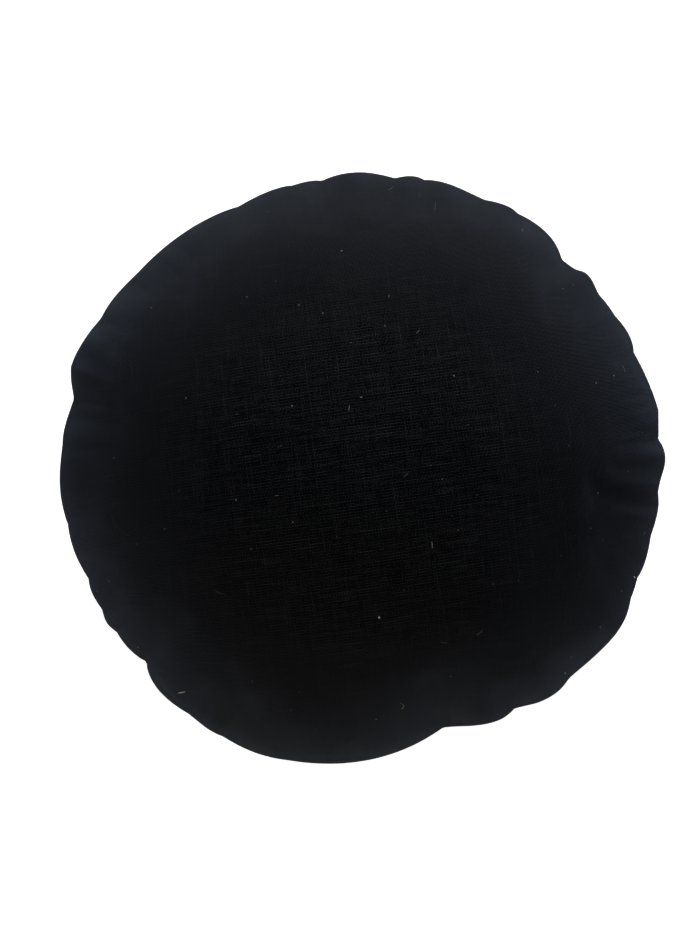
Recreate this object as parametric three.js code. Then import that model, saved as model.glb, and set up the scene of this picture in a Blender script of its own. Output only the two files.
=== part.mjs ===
// Round linen cushion, filled and lying on its back. Millimetres, +Z up.
// The origin is under the middle of the cushion, on the surface that it rests on.
// Two discs of cloth are sewn face to face, turned and filled, so the edge is a plain
// knife edge whose spare length gathers into small puckers all the way round.
import * as THREE from "three";

const cushion = {
  seamRadius: 200, // mean radius of the seam once the cushion is filled
  seamHeight: 64, // where the two discs of cloth meet
  height: 147, // from the resting face to the crown
  restRadius: 72, // the flat patch under the cushion's own weight
  crownReach: 102, // how far the nearly level crown reaches
  plumpness: 0.56, // how much of its rise the cloth makes close to the seam, top and bottom
  edgeDepth: 12, // how far in from the seam it makes it
  underReach: 0.4, // how far the underside stays low, as a share of the way to the seam
  turnsRound: 144, // steps round the seam
  stepsUnder: 9, // steps from the resting patch out to the seam
  stepsOver: 14, // steps from the seam up to the crown
};

// One row for each pucker round the seam, anticlockwise seen from above.
//   at     angle of the pucker in degrees
//   reach  how far the seam stands outside its mean radius there, in millimetres
//   lobe   how far the cloth bellies out between this pucker and the next
//   lean   where that lobe is widest, as a share of the way to the next pucker
//   lift   how far the lobe's seam rises or dips
//   groove depth of the fold that runs in from the pucker
const puckers = [
  { at: 6, reach: 2.3, lobe: 3.0, lean: 0.3, lift: 3, groove: 2.5 },
  { at: 22.5, reach: 0.3, lobe: 2.3, lean: 0.31, lift: -2, groove: 2 },
  { at: 35.5, reach: -1.2, lobe: 3.9, lean: 0.45, lift: 4, groove: 2.5 },
  { at: 45.5, reach: -4.4, lobe: 5.0, lean: 0.5, lift: -4, groove: 6 },
  { at: 66.5, reach: -0.9, lobe: 1.5, lean: 0.6, lift: 2, groove: 2 },
  { at: 77, reach: -1.1, lobe: 1.7, lean: 0.45, lift: -2, groove: 1.5 },
  { at: 83.5, reach: -3.4, lobe: 3.5, lean: 0.5, lift: 3, groove: 3 },
  { at: 98, reach: -4.8, lobe: 1.6, lean: 0.5, lift: -3, groove: 3.5 },
  { at: 115, reach: -5.3, lobe: 1.0, lean: 0.4, lift: 3, groove: 2.5 },
  { at: 136, reach: -1.0, lobe: 1.2, lean: 0.7, lift: -2, groove: 1.5 },
  { at: 149, reach: 1.8, lobe: 6.9, lean: 0.6, lift: 4, groove: 2 },
  { at: 167, reach: -1.1, lobe: 1.1, lean: 0.7, lift: -3, groove: 5 },
  { at: 175.5, reach: 1.3, lobe: 2.1, lean: 0.6, lift: 2, groove: 1.5 },
  { at: 191, reach: 1.0, lobe: 1.4, lean: 0.45, lift: -3, groove: 2 },
  { at: 202, reach: -1.6, lobe: 1.3, lean: 0.5, lift: 2, groove: 3 },
  { at: 208.5, reach: -0.9, lobe: 1.8, lean: 0.5, lift: -2, groove: 2 },
  { at: 214.5, reach: -1.4, lobe: 1.0, lean: 0.45, lift: 2, groove: 2 },
  { at: 222, reach: -4.4, lobe: 4.0, lean: 0.45, lift: -4, groove: 6 },
  { at: 235, reach: 2.5, lobe: 1.0, lean: 0.6, lift: 2, groove: 1.5 },
  { at: 242.5, reach: 4.0, lobe: 8.0, lean: 0.55, lift: -3, groove: 1.5 },
  { at: 287.5, reach: -16.7, lobe: 3.9, lean: 0.6, lift: 5, groove: 7 },
  { at: 302.5, reach: -6.8, lobe: 3.8, lean: 0.6, lift: -3, groove: 4 },
  { at: 315, reach: 0.5, lobe: 5.0, lean: 0.62, lift: 3, groove: 3 },
  { at: 338, reach: 1.5, lobe: 0.9, lean: 0.5, lift: -2, groove: 2.5 },
  { at: 346, reach: 1.6, lobe: 1.4, lean: 0.6, lift: 2, groove: 1.5 },
  { at: 355.5, reach: 1.6, lobe: 3.9, lean: 0.57, lift: -3, groove: 2.5 },
];
const groove = { halfWidth: 3.2, from: 0.62 }; // degrees, and where it starts as a share of the radius
const unevenFrom = 0.4; // the cushion is round inside this share of its radius
const crisp = 0.85; // under 1 makes the puckers sharper than the lobes between them

const clamp01 = (x) => Math.min(1, Math.max(0, x));
const easeIn = (x) => clamp01(x) ** 2 * (3 - 2 * clamp01(x));

// The pucker before an angle, the one after it, and how far round between them it is.
function between(angle) {
  let i = puckers.length - 1;
  while (i > 0 && puckers[i].at > angle) i -= 1;
  const before = angle < puckers[0].at ? puckers.at(-1) : puckers[i];
  const after = puckers[(puckers.indexOf(before) + 1) % puckers.length];
  const span = (after.at - before.at + 360) % 360;
  return { before, after, share: ((angle - before.at + 360) % 360) / span };
}

// How far the seam stands out, and how far it rises, at an angle in degrees.
function seamAt(angle) {
  const { before, after, share } = between(angle);
  const leaned = share ** (Math.log(0.5) / Math.log(before.lean));
  const belly = Math.sin(Math.PI * leaned) ** crisp;
  const line = THREE.MathUtils.lerp(before.reach, after.reach, share);
  return { reach: line + before.lobe * belly, lift: before.lift * belly };
}

// How deep the fold is that runs in from the nearest pucker.
function foldAt(angle) {
  return puckers.reduce((deepest, pucker) => {
    const away = Math.abs(((angle - pucker.at + 540) % 360) - 180);
    return Math.max(deepest, pucker.groove * Math.exp(-((away / groove.halfWidth) ** 2)));
  }, 0);
}

// Half of the cushion's section, from under its middle out to the seam and up to the crown.
function section() {
  const { seamRadius, seamHeight, height, restRadius } = cushion;
  const { crownReach, plumpness, edgeDepth, underReach } = cushion;
  const seam = new THREE.Vector2(seamRadius, seamHeight);
  const under = new THREE.CubicBezierCurve(
    new THREE.Vector2(restRadius, 0),
    new THREE.Vector2(THREE.MathUtils.lerp(restRadius, seamRadius, underReach), 0),
    new THREE.Vector2(seamRadius - edgeDepth, seamHeight * (1 - plumpness)),
    seam,
  );
  const over = new THREE.CubicBezierCurve(
    seam,
    new THREE.Vector2(seamRadius - edgeDepth, THREE.MathUtils.lerp(seamHeight, height, plumpness)),
    new THREE.Vector2(crownReach, height),
    new THREE.Vector2(0, height),
  );
  return [
    new THREE.Vector2(0, 0),
    ...under.getSpacedPoints(cushion.stepsUnder),
    ...over.getSpacedPoints(cushion.stepsOver).slice(1),
  ];
}

function filledCushion() {
  // The lathe turns about Y, so it is stood up to turn about Z.
  const form = new THREE.LatheGeometry(section(), cushion.turnsRound).rotateX(Math.PI / 2);
  const at = form.getAttribute("position");
  for (let i = 0; i < at.count; i += 1) {
    const radius = Math.hypot(at.getX(i), at.getY(i));
    const out = radius / cushion.seamRadius;
    if (out <= unevenFrom) continue; // the crown's top and the resting patch stay as turned
    const turn = Math.atan2(at.getY(i), at.getX(i));
    const angle = (THREE.MathUtils.radToDeg(turn) + 360) % 360;
    const { reach, lift } = seamAt(angle);
    const toEdge = easeIn((out - unevenFrom) / (1 - unevenFrom));
    const along = clamp01((out - groove.from) / (1 - groove.from));
    const side = Math.sign(at.getZ(i) - cushion.seamHeight);
    const pinch = side * foldAt(angle) * Math.sin(Math.PI * along) ** 2;
    const moved = radius + reach * toEdge;
    const raised = at.getZ(i) + lift * toEdge - pinch;
    at.setXYZ(i, moved * Math.cos(turn), moved * Math.sin(turn), raised);
  }
  form.computeBoundingBox();
  const middle = form.boundingBox.getCenter(new THREE.Vector3());
  form.translate(-middle.x, -middle.y, 0);
  form.computeVertexNormals();
  return form;
}

const linen = new THREE.MeshStandardMaterial({ color: 0x0d0e11, roughness: 0.95, metalness: 0 });
const filled = new THREE.Mesh(filledCushion(), linen);
filled.name = "filled_cushion";

const object = new THREE.Group();
object.add(filled);
export default object;
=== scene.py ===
# Round black linen cushion, filled and lying on its back.
# Metres, +Z up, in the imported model's frame: +Y is the photograph's top and +X its right.
import math
import random

import bmesh
import bpy
from mathutils import Matrix, Vector, noise
from mathutils.bvhtree import BVHTree
from mathutils.geometry import interpolate_bezier


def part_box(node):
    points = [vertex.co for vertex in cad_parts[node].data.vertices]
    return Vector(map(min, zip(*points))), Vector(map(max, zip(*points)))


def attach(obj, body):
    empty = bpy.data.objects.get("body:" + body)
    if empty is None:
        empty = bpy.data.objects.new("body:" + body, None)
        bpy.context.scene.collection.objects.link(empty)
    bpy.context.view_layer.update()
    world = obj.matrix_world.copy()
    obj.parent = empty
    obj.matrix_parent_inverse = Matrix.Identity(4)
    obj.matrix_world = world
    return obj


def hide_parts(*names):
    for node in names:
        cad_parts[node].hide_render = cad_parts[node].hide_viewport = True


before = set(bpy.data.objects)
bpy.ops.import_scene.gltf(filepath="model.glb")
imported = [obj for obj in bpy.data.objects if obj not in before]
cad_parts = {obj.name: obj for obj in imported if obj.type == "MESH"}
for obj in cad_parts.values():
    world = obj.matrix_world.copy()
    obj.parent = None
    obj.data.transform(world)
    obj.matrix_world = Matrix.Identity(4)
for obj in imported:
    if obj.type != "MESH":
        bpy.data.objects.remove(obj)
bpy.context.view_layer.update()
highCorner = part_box("filled_cushion")[1]
fullTurn = 2 * math.pi


def ease(share):
    share = min(1.0, max(0.0, share))
    return share * share * (3 - 2 * share)


def mix(a, b, share):
    return a + (b - a) * share


# The cover: two flat discs of linen, cut alike and sewn round the edge.
cover = {
    "sewnWidth": 0.450,  # across the flat cover, from stitch to stitch
    "stepsRound": 300,  # quads round the stitch line, in fours
    "rings": 15,  # rings of quads before the grid in the middle
    "ringWidth": 0.0034,  # of the ring next to the stitches
    "ringGrowth": 0.00016,  # how much wider each ring is than the one outside it
    "relaxed": 60,  # smoothing passes over the grid in the middle
    "relaxedPast": 0.03,  # how far out into the rings they reach
    "thickness": 0.0006,
    "heldApart": 0.02,  # between the discs' middles and their mirror plane while they are joined
    "mergeWithin": 1e-5,
    "frontTurn": 8.0,  # degrees that the weft rises towards the photograph's right
    "backTurn": -27.0,  # the back is cut on its own, so its weave runs another way
    "frontPlace": Vector((0.25, 0.25)),  # the discs' middles on the cloth, in metres
    "backPlace": Vector((0.75, 0.25)),
}

# One row for each pucker round the seam, anticlockwise seen from above.
#   at     angle of the pucker in degrees
#   reach  how far the seam stands outside its mean radius there
#   lobe   how far the cloth bellies out between this pucker and the next
#   lean   where that lobe is widest, as a share of the way to the next pucker
#   lift   how far the lobe's seam rises or dips
#   groove depth of the fold that runs in from the pucker
puckers = [
    {"at": 5.2, "reach": 0.0020, "lobe": -0.0003, "lean": 0.48, "lift": 0.003, "groove": 0.0025},
    {"at": 10.6, "reach": 0.0047, "lobe": 0.0003, "lean": 0.34, "lift": 0.001, "groove": 0.001},
    {"at": 22.8, "reach": 0.0000, "lobe": 0.0021, "lean": 0.43, "lift": -0.002, "groove": 0.002},
    {"at": 30.6, "reach": -0.0000, "lobe": 0.0003, "lean": 0.66, "lift": 0.001, "groove": 0.001},
    {"at": 35.6, "reach": -0.0013, "lobe": 0.0028, "lean": 0.66, "lift": 0.004, "groove": 0.0025},
    {"at": 42.1, "reach": -0.0019, "lobe": -0.0007, "lean": 0.34, "lift": 0.001, "groove": 0.001},
    {"at": 46.0, "reach": -0.0047, "lobe": 0.0041, "lean": 0.42, "lift": -0.004, "groove": 0.006},
    {"at": 58.5, "reach": 0.0013, "lobe": 0.0017, "lean": 0.35, "lift": 0.001, "groove": 0.001},
    {"at": 65.0, "reach": -0.0011, "lobe": 0.0016, "lean": 0.68, "lift": 0.002, "groove": 0.002},
    {"at": 77.4, "reach": -0.0015, "lobe": 0.0020, "lean": 0.46, "lift": -0.002, "groove": 0.0015},
    {"at": 83.1, "reach": -0.0037, "lobe": 0.0035, "lean": 0.54, "lift": 0.003, "groove": 0.003},
    {"at": 97.7, "reach": -0.0052, "lobe": 0.0010, "lean": 0.34, "lift": -0.003, "groove": 0.0035},
    {"at": 103.8, "reach": -0.0045, "lobe": 0.0012, "lean": 0.34, "lift": 0.001, "groove": 0.001},
    {"at": 115.2, "reach": -0.0059, "lobe": 0.0013, "lean": 0.39, "lift": 0.003, "groove": 0.0025},
    {"at": 138.0, "reach": -0.0007, "lobe": 0.0009, "lean": 0.68, "lift": -0.002, "groove": 0.0015},
    {"at": 149.8, "reach": 0.0018, "lobe": 0.0011, "lean": 0.63, "lift": 0.004, "groove": 0.002},
    {"at": 160.9, "reach": 0.0067, "lobe": 0.0004, "lean": 0.57, "lift": 0.001, "groove": 0.001},
    {"at": 166.5, "reach": -0.0013, "lobe": 0.0008, "lean": 0.68, "lift": -0.003, "groove": 0.005},
    {"at": 175.5, "reach": 0.0015, "lobe": 0.0019, "lean": 0.58, "lift": 0.002, "groove": 0.0015},
    {"at": 191.0, "reach": 0.0010, "lobe": 0.0015, "lean": 0.48, "lift": -0.003, "groove": 0.002},
    {"at": 202.3, "reach": -0.0018, "lobe": 0.0014, "lean": 0.45, "lift": 0.002, "groove": 0.003},
    {"at": 208.7, "reach": -0.0011, "lobe": 0.0020, "lean": 0.54, "lift": -0.002, "groove": 0.002},
    {"at": 214.0, "reach": -0.0015, "lobe": 0.0017, "lean": 0.52, "lift": 0.002, "groove": 0.002},
    {"at": 222.4, "reach": -0.0051, "lobe": 0.0046, "lean": 0.38, "lift": -0.004, "groove": 0.006},
    {"at": 235.0, "reach": 0.0027, "lobe": 0.0009, "lean": 0.66, "lift": 0.002, "groove": 0.0015},
    {"at": 242.7, "reach": 0.0039, "lobe": 0.0014, "lean": 0.55, "lift": -0.003, "groove": 0.0015},
    {"at": 255.5, "reach": 0.0038, "lobe": 0.0036, "lean": 0.53, "lift": 0.001, "groove": 0.001},
    {"at": 287.6, "reach": -0.0157, "lobe": 0.0038, "lean": 0.68, "lift": 0.005, "groove": 0.007},
    {"at": 302.4, "reach": -0.0068, "lobe": 0.0037, "lean": 0.59, "lift": -0.003, "groove": 0.004},
    {"at": 314.6, "reach": 0.0003, "lobe": 0.0040, "lean": 0.67, "lift": 0.003, "groove": 0.003},
    {"at": 334.1, "reach": 0.0028, "lobe": 0.0001, "lean": 0.34, "lift": 0.001, "groove": 0.001},
    {"at": 338.4, "reach": 0.0013, "lobe": 0.0011, "lean": 0.38, "lift": -0.002, "groove": 0.0025},
    {"at": 346.6, "reach": 0.0014, "lobe": 0.0014, "lean": 0.60, "lift": 0.002, "groove": 0.0015},
    {"at": 355.2, "reach": 0.0015, "lobe": 0.0040, "lean": 0.66, "lift": -0.003, "groove": 0.0025},
]
crisp = 0.9  # under 1 makes the puckers sharper than the lobes between them

# The cushion's section before the filling is pushed in, as the solid has it.
section = {
    "seamRadius": 0.200,  # mean radius of the seam
    "seamHeight": 0.064,
    "height": highCorner.z,
    "restRadius": 0.072,  # the flat patch that it rests on
    "crownReach": 0.102,  # how far the nearly level crown reaches
    "plumpness": 0.56,  # how much of its rise the cloth makes close to the seam
    "edgeDepth": 0.012,  # how far in from the seam it makes it
    "underReach": 0.4,  # how far the underside stays low, as a share of the way to the seam
    "unevenFrom": 0.4,  # the cushion is round inside this share of the cloth
    "lobesFrom": 0.8,  # and the lobes between puckers reach in no further than this one
    "lobesSoftened": 24,  # degrees over which the seam's reach is averaged further in
    "grooveWidth": 3.2,  # degrees to each side of a pucker
    "grooveFrom": 0.76,
    "grooveShare": 0.4,  # how much of the solid's folds is left once the cloth has filled out
    "steps": 200,  # points worked out along each side
}

# What the spare cloth at the seam does between the puckers above.
gathers = {
    "seed": 7,
    "waves": (26, 66),  # the slowest and the fastest wave, in turns round the seam
    "drift": (2, 9),  # and of what makes them uneven from place to place
    "rise": 0.0021,  # how far the seam waves up and down
    "pinch": 0.0017,  # how far both faces are pressed in behind it
    "from": 0.79,  # where they begin, as a share of the cloth from the middle out
    "fromDrift": 0.05,  # how uneven that is
    "strengthDrift": 0.38,  # how uneven their strength is round the seam
    "leastStrength": 0.25,
}


# How far the seam stands out and how far it rises, at an angle in degrees.
def seamAt(angle):
    angle %= 360
    before = [pucker for pucker in puckers if pucker["at"] <= angle]
    first = before[-1] if before else puckers[-1]
    after = puckers[(puckers.index(first) + 1) % len(puckers)]
    share = ((angle - first["at"]) % 360) / ((after["at"] - first["at"]) % 360)
    leaned = share ** (math.log(0.5) / math.log(first["lean"]))
    belly = math.sin(math.pi * leaned) ** crisp
    return mix(first["reach"], after["reach"], share) + first["lobe"] * belly, first["lift"] * belly


# How deep the fold is that runs in from the nearest pucker.
def foldAt(angle):
    deepest = 0
    for pucker in puckers:
        away = abs((angle - pucker["at"] + 180) % 360 - 180) / section["grooveWidth"]
        deepest = max(deepest, pucker["groove"] * math.exp(-away * away))
    return deepest


# Something that changes round the seam, worked out once for each small step round it.
def roundTheSeam(valueAt, steps=2400):
    values = [valueAt(fullTurn * step / steps) for step in range(steps)]

    def lookUp(turn):
        place = (turn / fullTurn) % 1.0 * steps
        step = int(place)
        return mix(values[step % steps], values[(step + 1) % steps], place - step)

    return lookUp


# A wandering wave round the seam, as strong for any seed.
def wanderingWave(seed, waves):
    dice = random.Random(seed)
    parts = [(count, dice.gauss(0, 1), dice.uniform(0, fullTurn)) for count in range(*waves)]
    size = math.sqrt(sum(height * height for _, height, _ in parts) / 2)

    def wave(turn):
        return sum(height * math.cos(count * turn + start) for count, height, start in parts) / size

    return roundTheSeam(wave)


# The same, averaged over a stretch of the seam.
def softened(lookUp, degrees, samples=48):
    span = math.radians(degrees)
    offsets = [span * ((step + 0.5) / samples - 0.5) for step in range(samples)]
    weights = [1 + math.cos(fullTurn * offset / span) for offset in offsets]
    total = sum(weights)

    def average(turn):
        return sum(lookUp(turn + offset) * weight for offset, weight in zip(offsets, weights)) / total

    return roundTheSeam(average, 360)


seamReach = roundTheSeam(lambda turn: seamAt(math.degrees(turn))[0])
seamReachSoft = softened(seamReach, section["lobesSoftened"])
seamLift = roundTheSeam(lambda turn: seamAt(math.degrees(turn))[1])
seamFold = roundTheSeam(lambda turn: foldAt(math.degrees(turn)))


# A disc of quads: rings in from the stitch line, and a grid that fills the middle.
def cutDisc():
    disc = bmesh.new()
    radius = cover["sewnWidth"] / 2
    bmesh.ops.create_circle(disc, segments=cover["stepsRound"], radius=radius)
    edges = disc.edges[:]
    for ring in range(cover["rings"]):
        made = bmesh.ops.extrude_edge_only(disc, edges=edges)["geom"]
        points = {item for item in made if isinstance(item, bmesh.types.BMVert)}
        width = cover["ringWidth"] + ring * cover["ringGrowth"]
        shrink = (radius - width) / radius
        bmesh.ops.scale(disc, vec=Vector((shrink, shrink, 1)), verts=list(points))
        edges = [item for item in made if isinstance(item, bmesh.types.BMEdge)]
        edges = [edge for edge in edges if points.issuperset(edge.verts)]
        radius -= width
    edges.sort(key=lambda edge: math.atan2(*(edge.verts[0].co + edge.verts[1].co).yx))
    quarter = len(edges) // 4
    bmesh.ops.grid_fill(disc, edges=edges[:quarter] + edges[2 * quarter : 3 * quarter])
    inner = [point for point in disc.verts if point.co.length < radius + cover["relaxedPast"]]
    for _ in range(cover["relaxed"]):
        bmesh.ops.smooth_vert(disc, verts=inner, factor=0.5, use_axis_x=True, use_axis_y=True)
    return disc


# Puts edges and faces in the order of their points. An extrusion leaves them in a new
# order on each run, and the filling's creases would follow it.
def putInOrder(disc):
    count = len(disc.verts)
    disc.verts.index_update()

    def order(item):
        first, second, *rest = sorted(point.index for point in item.verts)
        third = rest[0] if rest else 0
        return (first * count + second) * count + third

    disc.edges.sort(key=order)
    disc.faces.sort(key=order)


# Both discs in one mesh, joined at the stitches, with the cloth's own map on each.
# The layers keep where each point lies on the flat cover, and which disc it is on.
def sewShut(disc):
    cutLayer = disc.verts.layers.float_vector.new("cut")
    sideLayer = disc.verts.layers.float.new("side")
    reach = cover["sewnWidth"] / 2
    near = cover["mergeWithin"]
    for point in disc.verts:
        point[cutLayer] = point.co
        share = point.co.length / reach
        point.co.z = 0 if point.is_boundary else cover["heldApart"] * (1.01 - share**2)
    whole = disc.verts[:] + disc.edges[:] + disc.faces[:]
    bmesh.ops.mirror(disc, geom=whole, axis="Z", merge_dist=near)
    bmesh.ops.recalc_face_normals(disc, faces=disc.faces)
    putInOrder(disc)
    for point in disc.verts:
        point[sideLayer] = (point.co.z > near) - (point.co.z < -near)
    clothMap = disc.loops.layers.uv.new("clothCut")
    for face in disc.faces:
        isFront = face.calc_center_median().z > 0
        turn = math.radians(cover["frontTurn"] if isFront else cover["backTurn"])
        place = cover["frontPlace"] if isFront else cover["backPlace"]
        for corner in face.loops:
            flat = Vector(corner.vert[cutLayer][:2])
            flat.rotate(Matrix.Rotation(-turn, 2))
            corner[clothMap].uv = flat + place
    return disc


# Points at even steps along a line, so that a share of the cloth finds its place on it.
def evenSteps(line):
    lengths = [0.0]
    for here, there in zip(line, line[1:]):
        lengths.append(lengths[-1] + (there - here).length)
    points, at = [], 0
    for step in range(section["steps"] + 1):
        far = lengths[-1] * step / section["steps"]
        while at < len(line) - 2 and lengths[at + 1] < far:
            at += 1
        share = (far - lengths[at]) / (lengths[at + 1] - lengths[at])
        points.append(line[at].lerp(line[at + 1], share))
    return points


# Both sides of the section as (radius, height), each from the middle out to the seam.
def sectionSides():
    size = section
    edge = Vector((size["seamRadius"], size["seamHeight"]))
    tuck = size["seamRadius"] - size["edgeDepth"]
    top = Vector((0, size["height"]))
    crown = Vector((size["crownReach"], top.y))
    shoulder = Vector((tuck, mix(edge.y, top.y, size["plumpness"])))
    rest = Vector((size["restRadius"], 0))
    low = Vector((mix(rest.x, edge.x, size["underReach"]), 0))
    tuckUnder = Vector((tuck, edge.y * (1 - size["plumpness"])))
    over = interpolate_bezier(top, crown, shoulder, edge, size["steps"])
    under = [Vector((0, 0))] + interpolate_bezier(rest, low, tuckUnder, edge, size["steps"])
    return evenSteps(over), evenSteps(under)


# Lays the flat cover on the section, drawn in at the puckers and waving between them.
def layOnSection(pillow):
    cutLayer = pillow.verts.layers.float_vector["cut"]
    sideLayer = pillow.verts.layers.float["side"]
    over, under = sectionSides()
    seed, drift = gathers["seed"], gathers["drift"]
    rise = wanderingWave(seed, gathers["waves"])
    pinches = [wanderingWave(seed + step, gathers["waves"]) for step in (1, 2)]
    starts = [wanderingWave(seed + step, drift) for step in (3, 4)]
    strength = wanderingWave(seed + 5, drift)
    for point in pillow.verts:
        cut = point[cutLayer].xy
        isTop = point[sideLayer] >= 0
        out = min(1.0, 2 * cut.length / cover["sewnWidth"])
        turn = math.atan2(cut.y, cut.x)
        uneven = ease((out - section["unevenFrom"]) / (1 - section["unevenFrom"]))
        begins = gathers["from"] + gathers["fromDrift"] * starts[isTop](turn)
        strong = max(gathers["leastStrength"], 1 + gathers["strengthDrift"] * strength(turn))
        waving = ease((out - begins) / (1 - begins)) * strong
        along = min(1.0, max(0.0, (out - section["grooveFrom"]) / (1 - section["grooveFrom"])))
        folded = section["grooveShare"] * seamFold(turn) * math.sin(math.pi * along) ** 2
        pressed = gathers["pinch"] * waving * (1 - out**12) * max(0, pinches[isTop](turn))
        steps = over if isTop else under
        place = out * section["steps"]
        step = min(int(place), section["steps"] - 1)
        radius, height = steps[step].lerp(steps[step + 1], place - step)
        lobes = ease((out - section["lobesFrom"]) / (1 - section["lobesFrom"]))
        radius += mix(seamReachSoft(turn) * uneven, seamReach(turn), lobes)
        height += seamLift(turn) * lobes + gathers["rise"] * waving * rise(turn)
        height -= (folded + pressed) * point[sideLayer]
        point.co = Vector((radius * math.cos(turn), radius * math.sin(turn), height))


# How the filling pushes the cover out. The flat discs are its shape at rest, so the
# spare length round the seam has to buckle into creases, as it does on a real cushion.
filling = {
    "pressure": 4.0,
    "frames": 20,
    "quality": 8,
    "stretch": 30,  # stiffness of the linen along its threads
    "squeeze": 80,
    "shear": 10,
    "bend": 0.1,
    "damping": 2,
    "seamHold": 0.3,  # how firmly the turnings hold the seam in place
    "restHold": 1.0,  # and the surface below holds the resting patch
    "restFade": 0.012,  # how far to each side of the patch's edge that hold fades
    "mostMoved": 0.014,  # the furthest that a point may end from where it started
    "eased": 2,  # smoothing passes afterwards
    "easing": 0.4,
    "easedAbove": 0.004,  # the height from which they work, so that the patch stays flat
}


def fill(piece):
    mesh = piece.data
    cuts = [Vector(item.vector) for item in mesh.attributes["cut"].data]
    sides = [item.value for item in mesh.attributes["side"].data]
    starts = [point.co.copy() for point in mesh.vertices]
    piece.shape_key_add(name="laid")
    flat = piece.shape_key_add(name="flat")
    for key, cut, side in zip(flat.data, cuts, sides):
        key.co = Vector((cut.x, cut.y, side * cover["thickness"]))
    flat.value = 0
    held = piece.vertex_groups.new(name="held")
    for index, (cut, side) in enumerate(zip(cuts, sides)):
        fromEdge = section["restRadius"] - cut.length
        if side == 0:
            held.add([index], filling["seamHold"], "REPLACE")
        elif side < 0 and fromEdge > -filling["restFade"]:
            hold = ease(0.5 + 0.5 * fromEdge / filling["restFade"])
            held.add([index], filling["restHold"] * hold, "REPLACE")
    cloth = piece.modifiers.new("filling", "CLOTH")
    settings = cloth.settings
    settings.quality = filling["quality"]
    settings.tension_stiffness = filling["stretch"]
    settings.compression_stiffness = filling["squeeze"]
    settings.shear_stiffness = filling["shear"]
    settings.bending_stiffness = filling["bend"]
    settings.air_damping = filling["damping"]
    settings.use_pressure = True
    settings.uniform_pressure_force = filling["pressure"]
    settings.vertex_group_mass = held.name
    settings.rest_shape_key = flat
    settings.effector_weights.gravity = 0
    cloth.collision_settings.use_collision = False
    cloth.collision_settings.use_self_collision = False
    cloth.point_cache.frame_end = filling["frames"]
    for step in range(1, filling["frames"] + 1):
        bpy.context.scene.frame_set(step)
    pushed = piece.evaluated_get(bpy.context.evaluated_depsgraph_get()).data
    ends = [point.co.copy() for point in pushed.vertices]
    bpy.context.scene.frame_set(1)
    piece.modifiers.clear()
    piece.vertex_groups.clear()
    piece.shape_key_clear()
    moved = 0.0
    for point, start, end in zip(mesh.vertices, starts, ends):
        step = end - start
        moved = max(moved, step.length)
        if step.length > filling["mostMoved"]:
            step *= filling["mostMoved"] / step.length
        point.co = start + step
    eased = bmesh.new()
    eased.from_mesh(mesh)
    sideLayer = eased.verts.layers.float["side"]
    loose = [point for point in eased.verts if point[sideLayer] != 0]
    loose = [point for point in loose if point.co.z > filling["easedAbove"]]
    axes = {"use_axis_x": True, "use_axis_y": True, "use_axis_z": True}
    for _ in range(filling["eased"]):
        bmesh.ops.smooth_vert(eased, verts=loose, factor=filling["easing"], **axes)
    eased.to_mesh(mesh)
    eased.free()
    print(f"cushion: filled, the cloth moved up to {moved * 1000:.1f} mm")


# The seam: both discs' edges roll over the stitches, with a groove between them.
seam = {
    "roll": 0.0024,  # how far in from the stitches each edge starts to roll
    "sunk": 0.0013,  # how deep the stitches lie between the rolls
    "sunkDrift": 0.3,  # how uneven that depth is
    "leastSunk": 0.3,
    "segments": 4,
    "proud": 0.0003,  # how far the rolls stand out
    "turnings": 0.011,  # width of the turned-in edges that show through as a faint step
    "turningsDrift": 0.08,  # how uneven that width is
    "turningsWaves": (5, 30),
    "turningsStep": 0.00028,
    "turningsSlope": 0.003,
    "turningsClear": 0.004,  # the step fades out this near the rolled edge
    "tucks": (84, 168),  # waves of the fine tucks that the stitches draw up
    "tuckHeight": 0.00032,
    "tuckReach": 0.011,
    "rollClear": 0.003,  # the tucks stay this far off the rolled edge
    "lumpsFrom": 0.03,  # and the filling's lumps begin this far in
    "seed": 40,
}


def rollSeam(piece):
    pillow = bmesh.new()
    pillow.from_mesh(piece.data)
    sideLayer = pillow.verts.layers.float["side"]
    stitched = [edge for edge in pillow.edges if all(point[sideLayer] == 0 for point in edge.verts)]
    made = bmesh.ops.bevel(
        pillow, geom=stitched, offset=seam["roll"], offset_type="OFFSET", segments=seam["segments"],
        profile=0.5, affect="EDGES", material=-1, clamp_overlap=True,
    )
    strip = set(made["faces"])
    inside = {point for point in made["verts"] if strip.issuperset(point.link_faces)}
    outer = set(pillow.verts) - inside
    rolls = {point for point in inside if any(edge.other_vert(point) in outer for edge in point.link_edges)}
    pillow.normal_update()
    depth = wanderingWave(seam["seed"], seam["tucks"])
    moves = []
    for point in inside:
        outward = Vector((point.co.x, point.co.y, 0)).normalized()
        turn = math.atan2(point.co.y, point.co.x)
        sunk = seam["sunk"] * max(seam["leastSunk"], 1 + seam["sunkDrift"] * depth(turn))
        move = point.normal * seam["proud"] if point in rolls else -outward * sunk
        moves.append((point, move))
    for point, move in moves:
        point.co += move
    pillow.to_mesh(piece.data)
    pillow.free()
    print(f"cushion: seam rolled over {len(stitched)} stitched edges")


def subdivide(piece):
    finer = piece.modifiers.new("finer", "SUBSURF")
    finer.levels = finer.render_levels = 1
    bpy.context.view_layer.update()
    smooth = bpy.data.meshes.new_from_object(piece.evaluated_get(bpy.context.evaluated_depsgraph_get()))
    piece.modifiers.clear()
    piece.data = smooth


# The soft unevenness of fibre under cloth, in waves of each width and height.
lumps = [
    {"width": 0.085, "height": 0.0011},
    {"width": 0.034, "height": 0.0002},
    {"width": 0.014, "height": 0.00003},
]


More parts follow.
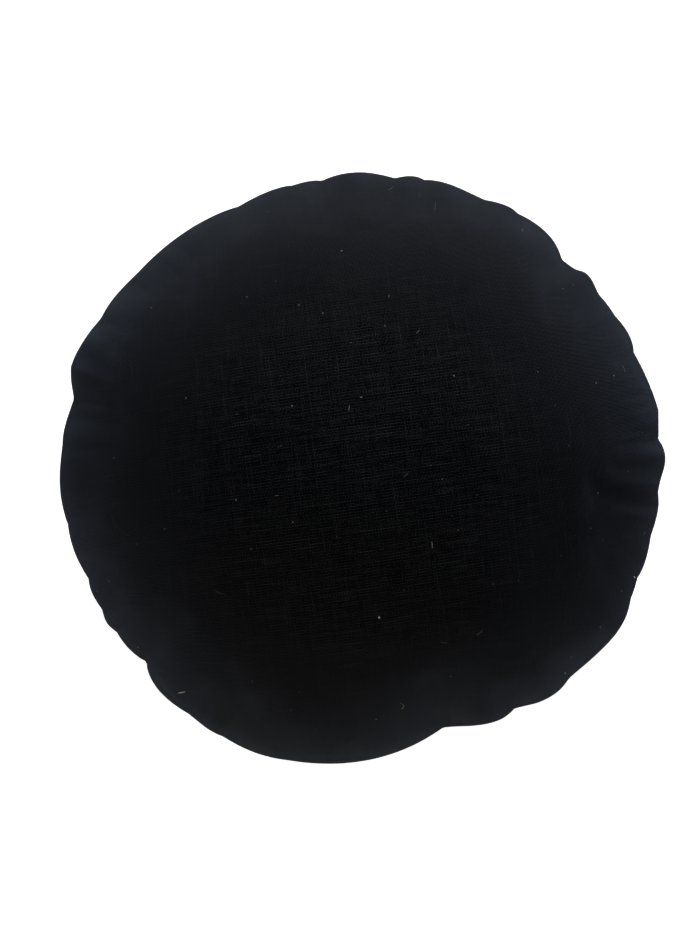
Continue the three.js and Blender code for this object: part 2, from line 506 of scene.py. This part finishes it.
# How far each point lies from the stitches, on its own flat disc.
def depthFromSeam(mesh):
    clothMap = mesh.uv_layers["clothCut"].data
    halfway = (cover["frontPlace"].x + cover["backPlace"].x) / 2
    depths = [0.0] * len(mesh.vertices)
    for corner in mesh.loops:
        uv = Vector(clothMap[corner.index].uv)
        middle = cover["frontPlace"] if uv.x < halfway else cover["backPlace"]
        depths[corner.vertex_index] = cover["sewnWidth"] / 2 - (uv - middle).length
    return depths


# Adds the lumps, the tucks and the step where the turnings end, along the surface's normal.
def shapeSurface(piece):
    mesh = piece.data
    depths = depthFromSeam(mesh)
    tucks = [wanderingWave(seam["seed"] + step, seam["tucks"]) for step in (1, 2)]
    edgeDrift = wanderingWave(seam["seed"] + 3, seam["turningsWaves"])
    normals = [item.vector.copy() for item in mesh.vertex_normals]
    for point, normal, depth in zip(mesh.vertices, normals, depths):
        turn = math.atan2(point.co.y, point.co.x)
        isTop = normal.z > 0
        raised = sum(lump["height"] * noise.noise(point.co / lump["width"]) for lump in lumps)
        raised *= ease(depth / seam["lumpsFrom"])
        fade = math.exp(-((depth / seam["tuckReach"]) ** 2))
        raised += seam["tuckHeight"] * tucks[isTop](turn) * fade * ease(depth / seam["rollClear"])
        turnings = seam["turnings"] * (1 + seam["turningsDrift"] * edgeDrift(turn))
        step = seam["turningsStep"] * ease((turnings - depth) / seam["turningsSlope"])
        raised += step * ease(depth / seam["turningsClear"])
        point.co += normal * raised


# Where a point shows at the seam's level, seen by the camera.
def seenFromAbove(point):
    eye = cameraPlace()
    share = photo["distance"] / (eye.z - point.z)
    return Vector((mix(eye.x, point.x, share), mix(eye.y, point.y, share)))


# The camera looks straight down, as the photograph does.
photo = {
    "width": 700,
    "height": 933,
    "pixel": 0.0006744,  # how much of the seam's level one pixel spans
    "middle": Vector((362.5, 468.0)),  # the pixel over the frame's origin
    "distance": 0.9,  # from the seam's level
    "sensor": 36,
}


def cameraPlace():
    x = (photo["width"] / 2 - photo["middle"].x) * photo["pixel"]
    y = (photo["middle"].y - photo["height"] / 2) * photo["pixel"]
    return Vector((x, y, section["seamHeight"] + photo["distance"]))


# The middle of the seam's circle: the outline's box is centred on the frame's origin.
def seamMiddle():
    xs, ys = [], []
    for step in range(720):
        turn = fullTurn * step / 720
        radius = section["seamRadius"] + seamReach(turn)
        xs.append(radius * math.cos(turn))
        ys.append(radius * math.sin(turn))
    return Vector((-(min(xs) + max(xs)) / 2, -(min(ys) + max(ys)) / 2))


outline = {
    "stations": 600,  # round the seam, one for each point of the finished mesh there
    "passes": 4,
    "from": 0.8,  # where the cushion starts to give way to it, as a share of the radius
}


# Puts the cushion over the frame's origin and down on the surface, and brings its outline,
# as the camera sees it, to the pucker table's.
def trueUp(piece):
    middle = seamMiddle()
    points = piece.data.vertices
    for point in points:
        point.co += middle.to_3d()
    stations = outline["stations"]
    for _ in range(outline["passes"]):
        widest = [0.0] * stations
        seen = []
        for point in points:
            flat = seenFromAbove(point.co) - middle
            radius, turn = flat.length, math.atan2(flat.y, flat.x) % fullTurn
            seen.append((radius, turn))
            station = round(turn / fullTurn * stations) % stations
            widest[station] = max(widest[station], radius)
        for point, (radius, turn) in zip(points, seen):
            place = turn / fullTurn * stations
            step = int(place)
            edge = mix(widest[step % stations], widest[(step + 1) % stations], place - step)
            short = section["seamRadius"] + seamReach(turn) - edge
            give = ease((radius / edge - outline["from"]) / (1 - outline["from"]))
            point.co += Vector((math.cos(turn), math.sin(turn), 0)) * short * give
    for point in points:
        point.co.z = max(0.0, point.co.z)
    print(f"cushion: outline trued up in {outline['passes']} passes")


def makeCushion():
    pillow = sewShut(cutDisc())
    layOnSection(pillow)
    mesh = bpy.data.meshes.new("linen_cushion")
    pillow.to_mesh(mesh)
    pillow.free()
    piece = bpy.data.objects.new("linen_cushion", mesh)
    bpy.context.scene.collection.objects.link(piece)
    print(f"cushion: cover cut and sewn, {len(mesh.polygons)} faces")
    fill(piece)
    rollSeam(piece)
    for face in piece.data.polygons:
        face.use_smooth = True
    subdivide(piece)
    shapeSurface(piece)
    trueUp(piece)
    print(f"cushion: finished, {len(piece.data.polygons)} faces")
    return piece


# Adds a node, with each of its inputs either linked or set.
def addNode(tree, kind, inputs=(), **settings):
    made = tree.nodes.new("ShaderNode" + kind)
    for name, value in settings.items():
        setattr(made, name, value)
    for socket, value in dict(inputs).items():
        if isinstance(value, bpy.types.NodeSocket):
            tree.links.new(value, made.inputs[socket])
        else:
            made.inputs[socket].default_value = value
    return made


def calc(tree, operation, *values):
    return addNode(tree, "Math", enumerate(values), operation=operation).outputs[0]


def remap(tree, value, low, high, newLow=0.0, newHigh=1.0, kind="SMOOTHSTEP"):
    inputs = {"Value": value, "From Min": low, "From Max": high, "To Min": newLow, "To Max": newHigh}
    return addNode(tree, "MapRange", inputs, interpolation_type=kind).outputs["Result"]


def blend(tree, share, start, end):
    return addNode(tree, "Mix", {0: share, 2: start, 3: end}).outputs[0]


mostNoise = (0.3, 0.7)  # nearly all of a noise lies between these


# Noise of a given feature size in metres, from about 0 to 1.
def unevenness(tree, place, width, detail=0):
    return addNode(tree, "TexNoise", {"Vector": place, "Scale": 1 / width, "Detail": detail}).outputs[0]


def newMaterial(name):
    material = bpy.data.materials.new(name)
    material.use_nodes = True
    tree = material.node_tree
    return material, tree, tree.nodes["Principled BSDF"]


# Plain-woven linen. The cloth's own map gives where a point lies on the flat cloth, in metres:
# the warp runs up it and the weft across it.
linen = {
    "threads": 1130,  # to the metre, both ways
    "wander": 0.0004,  # how far the threads wander from straight
    "wanderWidth": 0.02,
    "overUnder": 0.55,  # how much a thread rises and dips as it crosses the others
    "edge": 0.3,  # how softly the upper thread gives way to the lower, as a share of its height
    "toneLength": 0.016,  # how long a thread keeps its tone
    "toneSpread": (0.17, 0.88),  # a narrower spread makes the streaks stronger
    "threadsApart": 50.0,  # how far apart in the noise two threads may lie
    "pairTone": 0.45,  # every other thread is this much paler than its neighbours
    "slubLength": 0.04,
    "slubSpread": (0.67, 0.75),
    "slubTone": 0.8,  # how much paler than the yarn its slubs are
    "hairWidth": 1.1,  # of the hairy yarn's blotches, in threads
    "hairTone": 0.5,
    "patchWidth": 0.07,  # of the broad fading
    "patchTone": 0.08,
    "warpTone": 0.62,  # painted shade: where the warp is on top the colour is darkened to this share, as if the lamp at the top lit it less than the weft
    "gapPaintedShade": 0.02,  # painted shade in the gaps between the threads, as a share of the yarn's colour
    "gapSpread": (0.7, 1.4),
    "clearWithin": 0.055,  # the weave shows clearly this near the disc's middle
    "napFrom": 0.15,  # and from here on a soft nap covers it
    "clearTone": 0.16,  # how much of the yarn's tone shows through the nap
    "clearShade": 0.2,  # and how much of the gaps
    "napTone": 0.42,  # what the nap evens them out to
    "napShade": 0.42,
    "darkThread": (0.0016, 0.0015, 0.0014, 1),
    "paleThread": (0.0508, 0.0508, 0.0515, 1),
    "darkest": 0.0004,
    "roughness": (0.95, 0.78),  # of the dark yarn and of the pale yarn
    "relief": 0.0002,  # height of the weave
    "slubRelief": 0.5,
    "specular": 0.02,
    "sheen": 0.086,
    "sheenRoughness": 0.5,
    "sheenTint": (0.43, 0.625, 1.0, 1),
}


# Tone of the threads that run one way: each has its own streaks, a pale one every other
# time, and here and there a slub.
def threadTone(tree, thread, along, seed):
    index = calc(tree, "ROUND", thread)
    own = calc(tree, "ADD", index, seed)
    own = addNode(tree, "TexWhiteNoise", {"W": own}, noise_dimensions="1D").outputs["Value"]
    tones = []
    for kind, offset in (("tone", 0.0), ("slub", 57.3)):
        far = calc(tree, "MULTIPLY", along, 1 / linen[kind + "Length"])
        side = calc(tree, "MULTIPLY_ADD", own, linen["threadsApart"], offset)
        spot = addNode(tree, "CombineXYZ", {"X": far, "Y": side}).outputs[0]
        uneven = {"Vector": spot, "Scale": 1, "Detail": 1}
        streak = addNode(tree, "TexNoise", uneven, noise_dimensions="2D").outputs[0]
        tones.append(remap(tree, streak, *linen[kind + "Spread"]))
    paired = calc(tree, "MULTIPLY", calc(tree, "PINGPONG", index, 1), linen["pairTone"])
    tones[0] = calc(tree, "ADD", tones[0], calc(tree, "SUBTRACT", paired, linen["pairTone"] / 2))
    return tones


# How far a point lies from the middle of its own disc, on the flat cloth.
def fromDiscMiddle(tree, x, y):
    front, back = cover["frontPlace"], cover["backPlace"]
    x = calc(tree, "ABSOLUTE", calc(tree, "SUBTRACT", x, (front.x + back.x) / 2))
    x = calc(tree, "SUBTRACT", x, (back.x - front.x) / 2)
    y = calc(tree, "SUBTRACT", y, front.y)
    return calc(tree, "SQRT", calc(tree, "MULTIPLY_ADD", x, x, calc(tree, "MULTIPLY", y, y)))


def makeLinen():
    material, tree, shader = newMaterial("blackLinen")
    cut = addNode(tree, "UVMap", uv_map="clothCut").outputs["UV"]
    wandering = {"Vector": cut, "Scale": 1 / linen["wanderWidth"], "Detail": 2}
    drift = addNode(tree, "TexNoise", wandering).outputs[1]
    drift = addNode(tree, "VectorMath", {0: drift, 1: (0.5, 0.5, 0.5)}, operation="SUBTRACT").outputs[0]
    drift = addNode(tree, "VectorMath", {0: drift, "Scale": linen["wander"]}, operation="SCALE").outputs[0]
    place = addNode(tree, "VectorMath", {0: cut, 1: drift}, operation="ADD").outputs[0]
    x, y = addNode(tree, "SeparateXYZ", {0: place}).outputs[:2]

    # The two sets of threads cross over and under, and the higher one shows.
    warpThread = calc(tree, "MULTIPLY", x, linen["threads"])
    weftThread = calc(tree, "MULTIPLY", y, linen["threads"])
    warpTurn = calc(tree, "COSINE", calc(tree, "MULTIPLY", warpThread, math.pi))
    weftTurn = calc(tree, "COSINE", calc(tree, "MULTIPLY", weftThread, math.pi))
    crossing = calc(tree, "MULTIPLY", calc(tree, "MULTIPLY", warpTurn, weftTurn), linen["overUnder"])
    warp = calc(tree, "ADD", calc(tree, "ABSOLUTE", warpTurn), crossing)
    weft = calc(tree, "SUBTRACT", calc(tree, "ABSOLUTE", weftTurn), crossing)
    height = calc(tree, "MAXIMUM", warp, weft)
    warpOnTop = remap(tree, calc(tree, "SUBTRACT", warp, weft), -linen["edge"], linen["edge"])

    warpTone, warpSlub = threadTone(tree, warpThread, y, 3.0)
    weftTone, weftSlub = threadTone(tree, weftThread, x, 5031.0)
    tone = blend(tree, warpOnTop, weftTone, warpTone)
    slub = blend(tree, warpOnTop, weftSlub, warpSlub)
    hairs = unevenness(tree, cut, linen["hairWidth"] / linen["threads"], 1)
    hairs = remap(tree, hairs, *mostNoise, -linen["hairTone"], linen["hairTone"], "LINEAR")
    tone = calc(tree, "ADD", tone, calc(tree, "MULTIPLY_ADD", slub, linen["slubTone"], hairs))
    # Painted shade: the base colour is darkened in the gaps between the threads.
    shade = remap(tree, height, *linen["gapSpread"], linen["gapPaintedShade"], 1.0)
    # Painted shade: the warp is darker than the weft, as the top lamp would make it.
    warpPaintedShade = remap(tree, warpOnTop, 0, 1, 1.0, linen["warpTone"], "LINEAR")
    shade = calc(tree, "MULTIPLY", shade, warpPaintedShade)

    # The nap evens out both towards the seam.
    napped = remap(tree, fromDiscMiddle(tree, x, y), linen["clearWithin"], linen["napFrom"])
    clear = remap(tree, napped, 0, 1, 1.0, linen["clearTone"], "LINEAR")
    tone = blend(tree, clear, linen["napTone"], tone)
    clear = remap(tree, napped, 0, 1, 1.0, linen["clearShade"], "LINEAR")
    shade = blend(tree, clear, linen["napShade"], shade)
    patch = unevenness(tree, cut, linen["patchWidth"], 3)
    patch = remap(tree, patch, *mostNoise, -linen["patchTone"], linen["patchTone"], "LINEAR")
    tone = calc(tree, "ADD", tone, patch)

    yarn = {0: tone, 6: linen["darkThread"], 7: linen["paleThread"]}
    colour = addNode(tree, "Mix", yarn, data_type="RGBA", clamp_factor=False).outputs[2]
    colour = addNode(tree, "VectorMath", {0: colour, "Scale": shade}, operation="SCALE").outputs[0]
    darkest = {0: colour, 1: (linen["darkest"],) * 3}
    colour = addNode(tree, "VectorMath", darkest, operation="MAXIMUM").outputs[0]
    tree.links.new(colour, shader.inputs["Base Color"])
    tree.links.new(remap(tree, tone, 0, 1, *linen["roughness"]), shader.inputs["Roughness"])
    raised = calc(tree, "MULTIPLY_ADD", slub, linen["slubRelief"], height)
    relief = addNode(tree, "Bump", {"Height": raised, "Distance": linen["relief"], "Strength": 1.0})
    tree.links.new(relief.outputs[0], shader.inputs["Normal"])
    shader.inputs["Specular IOR Level"].default_value = linen["specular"]
    shader.inputs["Sheen Weight"].default_value = linen["sheen"]
    shader.inputs["Sheen Roughness"].default_value = linen["sheenRoughness"]
    shader.inputs["Sheen Tint"].default_value = linen["sheenTint"]
    print(f"linen: woven, {linen['threads'] / 100:.1f} threads to the centimetre")
    return material


cushion = makeCushion()
cushion.data.materials.clear()
cushion.data.materials.append(makeLinen())
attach(cushion, "root")
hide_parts("filled_cushion")


# Lint that clings to the linen, where the photograph shows it. Places and lengths are in its
# pixels, turns in degrees anticlockwise from level, and widths in metres.
lint = {
    "threads": [
        {"at": (349, 408), "length": 6, "turn": 82, "bend": 10, "width": 0.00018},
        {"at": (182, 692), "length": 7, "turn": 12, "bend": -15, "width": 0.00045},
        {"at": (432, 545), "length": 7, "turn": 92, "bend": 8, "width": 0.00020},
        {"at": (479, 632), "length": 9, "turn": 31, "bend": 60, "width": 0.00005},
        {"at": (444, 642), "length": 8, "turn": -14, "bend": 30, "width": 0.00003},
        {"at": (220, 591.5), "length": 13, "turn": -27, "bend": 50, "width": 0.00003},
        {"at": (400.5, 706), "length": 9, "turn": 75, "bend": 200, "width": 0.00010},
        {"at": (418, 331.5), "length": 5, "turn": 45, "bend": 20, "width": 0.00010},
        {"at": (623.6, 369), "length": 8, "turn": 110, "bend": 15, "width": 0.00006},
        {"at": (435, 206.6), "length": 10, "turn": 88, "bend": 10, "width": 0.00004},
        {"at": (280, 446), "length": 5, "turn": 20, "bend": 40, "width": 0.00006},
        {"at": (406, 474.6), "length": 6, "turn": 35, "bend": 20, "width": 0.00007},
        {"at": (644, 533.6), "length": 5, "turn": 60, "bend": 0, "width": 0.00005},
        {"at": (277, 495.4), "length": 4, "turn": 0, "bend": 20, "width": 0.00010},
        {"at": (389.5, 187.7), "length": 8, "turn": 20, "bend": 120, "width": 0.00005},
        {"at": (419.4, 194.8), "length": 6, "turn": 65, "bend": 20, "width": 0.00002},
        {"at": (579, 575.5), "length": 7, "turn": 90, "bend": 10, "width": 0.00002},
        {"at": (121, 525), "length": 31, "turn": -53, "bend": 40, "width": 0.00001},
        {"at": (379, 617), "length": 2.4, "turn": 75, "bend": 30, "width": 0.00095},
    ],
    "specks": [
        {"width": 0.00060, "length": 1.8, "at": [(634, 577)]},
        {
            "width": 0.00034,
            "length": 1.8,
            "at": [(292, 406), (454, 376), (236, 500), (342, 251), (361, 397)],
        },
        {
            "width": 0.00018,
            "length": 1.6,
            "at": [
                (237, 414), (323, 313), (247, 297), (351, 343), (299, 305), (538, 372), (614, 376),
                (596, 383), (389, 296), (385, 326), (293, 522), (251, 549), (598, 493), (565, 673),
                (628, 471), (186, 398),
            ],
        },
        {
            "width": 0.00011,
            "length": 1.5,
            "at": [
                (276, 281), (151, 308), (114, 458), (563, 289), (573, 285), (522, 230), (642, 432),
                (569, 446), (555, 405), (468, 425), (252, 681), (165, 529), (138, 647), (404, 590),
                (451, 676), (376, 719), (591, 528), (458, 530), (442, 479), (431, 465), (477, 495),
                (386, 511), (621, 591), (571, 657),
            ],
        },
        {
            "width": 0.00006,
            "length": 1.5,
            "at": [
                (268, 212), (137, 544), (109, 581), (291, 710), (316, 729), (300, 692), (97, 591),
                (337, 537), (179, 491), (493, 584), (575, 535), (452, 516), (600, 627), (603, 540),
                (560, 555), (518, 581),
            ],
        },
    ],
    "speckSpread": (0.8, 1.2),  # how much their lengths differ
    "speckBend": 120,  # degrees that the shortest threads curl through at most
    "seed": 12,
    "points": 6,
    "clear": 0.00004,  # gap under a thread where its ends touch the cloth
    "arch": 0.06,  # how high its middle stands, as a share of its length
    "endWidth": 0.45,
    "palest": (0.80, 0.79, 0.77, 1),
    "dullest": (0.46, 0.45, 0.44, 1),
    "blotch": 0.0006,
    "fuzz": 0.00008,
    "fuzzHeight": 0.00001,
    "roughness": (0.65, 0.95),
    "specular": 0.2,
}


def lintThreads():
    dice = random.Random(lint["seed"])
    curl = lint["speckBend"]
    for kind in lint["specks"]:
        for at in kind["at"]:
            length = kind["length"] * dice.uniform(*lint["speckSpread"])
            turn = dice.uniform(0, 180)
            yield {**kind, "at": at, "length": length, "turn": turn, "bend": dice.uniform(-curl, curl)}
    yield from lint["threads"]


# A thread's pixels, from end to end along an arc.
def alongThread(thread):
    turn = math.radians(thread["turn"] - thread["bend"] / 2)
    step = thread["length"] / (lint["points"] - 1)
    at = Vector((0, 0))
    places = [at]
    for _ in range(lint["points"] - 1):
        turn += math.radians(thread["bend"]) / (lint["points"] - 1)
        at = at + step * Vector((math.cos(turn), -math.sin(turn)))
        places.append(at)
    middle = (places[0] + places[-1]) / 2
    return [Vector(thread["at"]) + place - middle for place in places]


def makeLint(ground):
    surface = BVHTree.FromObject(ground, bpy.context.evaluated_depsgraph_get())
    eye = cameraPlace()
    curve = bpy.data.curves.new("lint", "CURVE")
    curve.dimensions = "3D"
    curve.bevel_depth = 1.0
    curve.bevel_resolution = 0
    curve.use_fill_caps = True
    laid = 0
    for thread in lintThreads():
        hits = []
        for pixel in alongThread(thread):
            across = (pixel.x - photo["middle"].x) * photo["pixel"]
            up = (photo["middle"].y - pixel.y) * photo["pixel"]
            aim = Vector((across, up, section["seamHeight"]))
            hits.append(surface.ray_cast(eye, aim - eye)[:2])
        if any(place is None for place, _ in hits):
            continue
        spline = curve.splines.new("POLY")
        spline.points.add(len(hits) - 1)
        high = lint["arch"] * thread["length"] * photo["pixel"]
        for step, (point, (place, normal)) in enumerate(zip(spline.points, hits)):
            share = math.sin(math.pi * step / (len(hits) - 1))
            lift = lint["clear"] + thread["width"] / 2 + high * share
            point.co = (place + normal * lift).to_4d()
            point.radius = thread["width"] / 2 * mix(lint["endWidth"], 1, share)
        laid += 1
    tubes = bpy.data.objects.new("lint", curve)
    bpy.context.scene.collection.objects.link(tubes)
    bpy.context.view_layer.update()
    made = tubes.evaluated_get(bpy.context.evaluated_depsgraph_get())
    mesh = bpy.data.meshes.new_from_object(made)
    bpy.data.objects.remove(tubes)
    bpy.data.curves.remove(curve)
    piece = bpy.data.objects.new("lint", mesh)
    bpy.context.scene.collection.objects.link(piece)
    print(f"lint: {laid} threads and specks, {len(mesh.polygons)} faces")
    return piece


def makeLintMaterial():
    material, tree, shader = newMaterial("paleLint")
    place = addNode(tree, "TexCoord").outputs["Object"]
    blotch = unevenness(tree, place, lint["blotch"], 1)
    fibre = {0: blotch, 6: lint["dullest"], 7: lint["palest"]}
    colour = addNode(tree, "Mix", fibre, data_type="RGBA").outputs[2]
    tree.links.new(colour, shader.inputs["Base Color"])
    tree.links.new(remap(tree, blotch, *mostNoise, *lint["roughness"]), shader.inputs["Roughness"])
    fuzz = unevenness(tree, place, lint["fuzz"], 2)
    relief = addNode(tree, "Bump", {"Height": fuzz, "Distance": lint["fuzzHeight"], "Strength": 1.0})
    tree.links.new(relief.outputs[0], shader.inputs["Normal"])
    shader.inputs["Specular IOR Level"].default_value = lint["specular"]
    return material


caughtLint = makeLint(cushion)
caughtLint.data.materials.clear()
caughtLint.data.materials.append(makeLintMaterial())
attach(caughtLint, "root")


def placeCamera():
    lens = bpy.data.cameras.new("camera")
    camera = bpy.data.objects.new("camera", lens)
    bpy.context.scene.collection.objects.link(camera)
    camera.location = cameraPlace()
    lens.sensor_width = photo["sensor"]
    lens.lens = photo["sensor"] * photo["distance"] / (photo["height"] * photo["pixel"])
    bpy.context.scene.camera = camera


placeCamera()


# A white light table in a dark room, with soft lamps low round it. The photograph's
# background is pure white with no shadow, and the cushion is lit mostly from its top edge.
studio = {
    "floorSize": 4,  # half its width
    "floorTone": (0.86, 0.86, 0.86, 1),
    "floorRoughness": 0.9,
    "floorGlow": 0.95,
    "backdrop": 1.05,  # as the camera sees it
    "sky": 0.72,  # as it lights the cushion
    "skyFrom": 5,  # degrees above the horizon where its light starts to fade
    "skyTo": 14,
    "aim": Vector((0, 0, 0.08)),
    "distance": 1.6,
    "lamps": [
        {"name": "keyLamp", "azimuth": 84, "elevation": 10.5, "width": 0.6, "height": 0.6, "power": 23.5},
        {"name": "rightLamp", "azimuth": 15, "elevation": 11, "width": 0.6, "height": 0.6, "power": 3.7},
        {"name": "leftLamp", "azimuth": 138, "elevation": 26, "width": 0.6, "height": 0.6, "power": 3.6},
        {
            "name": "nearLamp",
            "azimuth": 260,
            "elevation": 3,
            "width": 0.6,
            "height": 0.24,
            "power": 12,
            "colour": (1, 0.86, 0.72),
        },
    ],
}


def makeFloor():
    plane = bmesh.new()
    bmesh.ops.create_grid(plane, x_segments=1, y_segments=1, size=studio["floorSize"])
    mesh = bpy.data.meshes.new("floor")
    plane.to_mesh(mesh)
    plane.free()
    floor = bpy.data.objects.new("floor", mesh)
    bpy.context.scene.collection.objects.link(floor)
    material, tree, shader = newMaterial("paleFloor")
    shader.inputs["Base Color"].default_value = studio["floorTone"]
    shader.inputs["Roughness"].default_value = studio["floorRoughness"]
    shader.inputs["Specular IOR Level"].default_value = 0.0
    shader.inputs["Emission Color"].default_value = (1, 1, 1, 1)
    shader.inputs["Emission Strength"].default_value = studio["floorGlow"]
    mesh.materials.append(material)
    return floor


def placeLamps():
    for lamp in studio["lamps"]:
        light = bpy.data.lights.new(lamp["name"], "AREA")
        light.shape = "RECTANGLE"
        light.size, light.size_y = lamp["width"], lamp["height"]
        light.energy = lamp["power"]
        light.color = lamp.get("colour", (1, 1, 1))
        holder = bpy.data.objects.new(lamp["name"], light)
        bpy.context.scene.collection.objects.link(holder)
        azimuth, elevation = math.radians(lamp["azimuth"]), math.radians(lamp["elevation"])
        level = Vector((math.cos(azimuth), math.sin(azimuth), 0)) * math.cos(elevation)
        away = level + Vector((0, 0, math.sin(elevation)))
        holder.location = studio["aim"] + studio["distance"] * away
        holder.rotation_euler = (-away).to_track_quat("-Z", "Y").to_euler()
        holder.visible_camera = False


def makeSky():
    world = bpy.data.worlds.new("studio")
    world.use_nodes = True
    tree = world.node_tree
    direction = addNode(tree, "TexCoord").outputs["Generated"]
    upwards = addNode(tree, "SeparateXYZ", {0: direction}).outputs["Z"]
    low, high = (math.sin(math.radians(studio[name])) for name in ("skyFrom", "skyTo"))
    backdrop = tree.nodes["Background"]
    backdrop.inputs["Color"].default_value = (1, 1, 1, 1)
    lighting = remap(tree, upwards, low, high, studio["sky"], 0.0)
    seen = addNode(tree, "LightPath").outputs["Is Camera Ray"]
    tree.links.new(blend(tree, seen, lighting, studio["backdrop"]), backdrop.inputs["Strength"])
    bpy.context.scene.world = world


makeFloor()
placeLamps()
makeSky()
bpy.context.scene.view_settings.view_transform = "Standard"
print("studio: floor, lamps, sky and camera placed")
